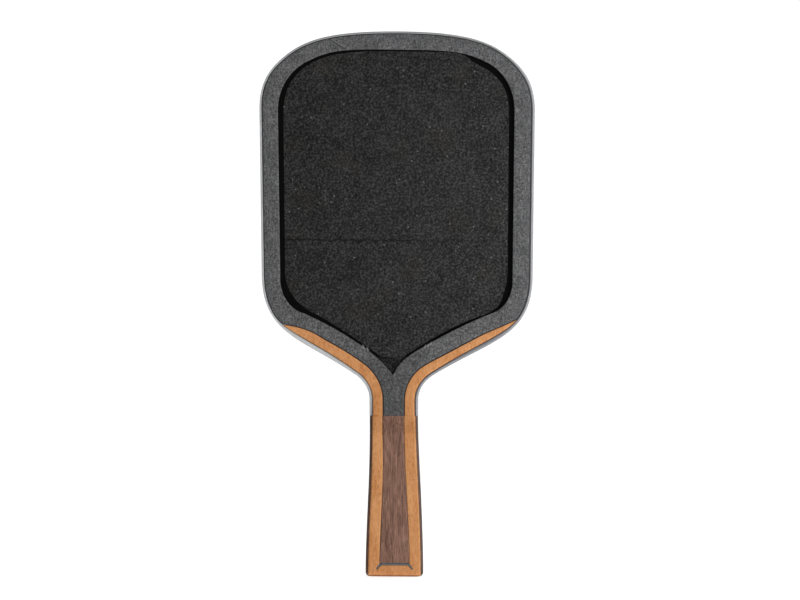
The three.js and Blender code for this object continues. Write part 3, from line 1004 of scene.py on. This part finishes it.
piece("edge_band_detail", *edge_band(), band, "band", ["edge_band"])
pair("grit_film", shell([grit_edge], level(GRIT_HALF), level(SHEET_HALF), even(0.15)),
     grit, "grit")
plate_rim = joined(half_plate(RIGHT_STRIP), half_plate(LEFT_STRIP))
plate = shell([plate_rim, opening[::-1]], sloped, level(SHEET_HALF), plate_bevel, grid=HEAD_GRID)
pair("frame_plate", plate, composite, "composite", edge_look=painted_shade_edge,
     edge_faces=EDGE_RINGS * len(plate_rim))

right_loop, left_loop = strip_outline(RIGHT_STRIP), flipped(strip_outline(LEFT_STRIP))
right_strip = shell([right_loop], sloped, level(SHEET_HALF), strip_bevel(RIGHT_STRIP), grid=HEAD_GRID)
left_strip = shell([left_loop], sloped, level(SHEET_HALF), strip_bevel(LEFT_STRIP), grid=HEAD_GRID)
for name, made, loop in (
    ("front_right_shoulder_strip", on_front(right_strip), right_loop),
    ("front_left_shoulder_strip", on_front(left_strip), left_loop),
    ("back_left_shoulder_strip", turned(on_front(right_strip)), right_loop),
    ("back_right_shoulder_strip", turned(on_front(left_strip)), left_loop),
):
    piece(f"{name}_detail", *made, cork, "cork", [name], edge_look=painted_shade_cork_edge,
          edge_faces=EDGE_RINGS * len(loop))

# ---------------------------------------------------------------- the handle

butt_rows = [BUTT_ROUND * (1 - math.cos(a)) for a in np.linspace(0.3, math.pi / 2, 10)]
panel = shell([panel_outline()], front_of_handle, skin_underside, skin_bevel(0.2), grid=PANEL_GRID)
pair("walnut_panel", panel, walnut, "walnut")
cork_frame = shell([cork_outline()], front_of_handle, skin_underside, skin_bevel(0.15),
                   grid=BUTT_GRID, rows=butt_rows)
pair("cork_frame", cork_frame, cork, "cork")
inlay = shell([accent_outline()], front_of_handle, skin_underside, even(0.12))
pair("accent_inlay", inlay, accent, "accent")

rail = shell([rail_outline()], side_of_handle, rail_inside, even(0.02), grid=BUTT_GRID,
             rows=butt_rows)
right_rail = ([(out, y, z) for y, z, out in rail[0]], rail[1], rail[2])
piece("right_side_rail_detail", *right_rail, right_rail_painted_shade_walnut, "walnut", ["right_side_rail"])
piece("left_side_rail_detail", *turned(right_rail), left_rail_painted_shade_walnut, "walnut", ["left_side_rail"])

# ---------------------------------------------------------------- stage, light and camera

IMAGE_WIDTH = 800
SCALE = 0.7407  # millimetres of the paddle's front to each dot of that width
DISTANCE = 4000
SENSOR = 36
CENTRE = Vector((3.1, 0, 204.8))
ROLL = math.radians(0.38)
WORLD_FRONT = 0
WORLD_BACK = 0.85
FLOOR_HALF = 30  # metres


def stage():
    look = Look("pale_floor")
    mottle = look.noise(90, 3, 0.5)
    colour = look.ramp(mottle, (0.3, (0.78, 0.78, 0.78, 1)), (0.7, (0.82, 0.82, 0.82, 1)))
    material = look.finish(Base_Color=colour, Roughness=0.6, Emission_Color=(1, 1, 1, 1),
                           Emission_Strength=0.72)
    mesh = bpy.data.meshes.new("pale_floor")
    corners = [(x * FLOOR_HALF, y * FLOOR_HALF, 0) for x, y in ((-1, -1), (1, -1), (1, 1), (-1, 1))]
    mesh.from_pydata(corners, [], [(0, 1, 2, 3)])
    mesh.materials.append(material)
    floor = bpy.data.objects.new("pale_floor", mesh)
    bpy.context.scene.collection.objects.link(floor)


def world():
    """White all round, with less light from in front than from behind."""
    made = bpy.data.worlds.new("white_studio")
    made.use_nodes = True
    nodes, links = made.node_tree.nodes, made.node_tree.links
    nodes.clear()
    seen = nodes.new("ShaderNodeBackground")
    seen.inputs[1].default_value = 1.1
    lit = nodes.new("ShaderNodeBackground")
    for shader in (seen, lit):
        shader.inputs[0].default_value = (1, 1, 1, 1)
    place = nodes.new("ShaderNodeTexCoord")
    axes = nodes.new("ShaderNodeSeparateXYZ")
    links.new(place.outputs["Generated"], axes.inputs[0])
    share = nodes.new("ShaderNodeMapRange")
    share.interpolation_type = "SMOOTHSTEP"
    for number, value in enumerate((-0.15, 0.3, WORLD_FRONT, WORLD_BACK), 1):
        share.inputs[number].default_value = value
    links.new(axes.outputs["Y"], share.inputs[0])
    links.new(share.outputs[0], lit.inputs[1])
    ray = nodes.new("ShaderNodeLightPath")
    mix = nodes.new("ShaderNodeMixShader")
    out = nodes.new("ShaderNodeOutputWorld")
    links.new(ray.outputs["Is Camera Ray"], mix.inputs[0])
    links.new(lit.outputs[0], mix.inputs[1])
    links.new(seen.outputs[0], mix.inputs[2])
    links.new(mix.outputs[0], out.inputs[0])
    bpy.context.scene.world = made


def softbox(name, place, size, power):
    data = bpy.data.lights.new(name, "AREA")
    data.shape = "DISK"
    data.size = size
    data.energy = power
    light = bpy.data.objects.new(name, data)
    light.location = place
    light.rotation_euler = (Vector((0, 0, 0.22)) - Vector(place)).to_track_quat("-Z", "Y").to_euler()
    bpy.context.scene.collection.objects.link(light)


def camera():
    data = bpy.data.cameras.new("camera")
    data.sensor_width = SENSOR
    data.lens = SENSOR * DISTANCE / (IMAGE_WIDTH * SCALE)
    data.clip_start, data.clip_end = 0.05, 100
    made = bpy.data.objects.new("camera", data)
    turn = Matrix.Rotation(math.radians(90), 4, "X") @ Matrix.Rotation(ROLL, 4, "Z")
    place = Vector((CENTRE.x, -PLATE_HALF - DISTANCE, CENTRE.z)) * MM
    made.matrix_world = Matrix.Translation(place) @ turn
    bpy.context.scene.collection.objects.link(made)
    bpy.context.scene.camera = made


stage()
world()
softbox("key", (2.5, -1.15, 0.3), 0.8, 78)
camera()
view = bpy.context.scene.view_settings
view.view_transform = "Standard"
view.look = "None"

bpy.context.view_layer.update()
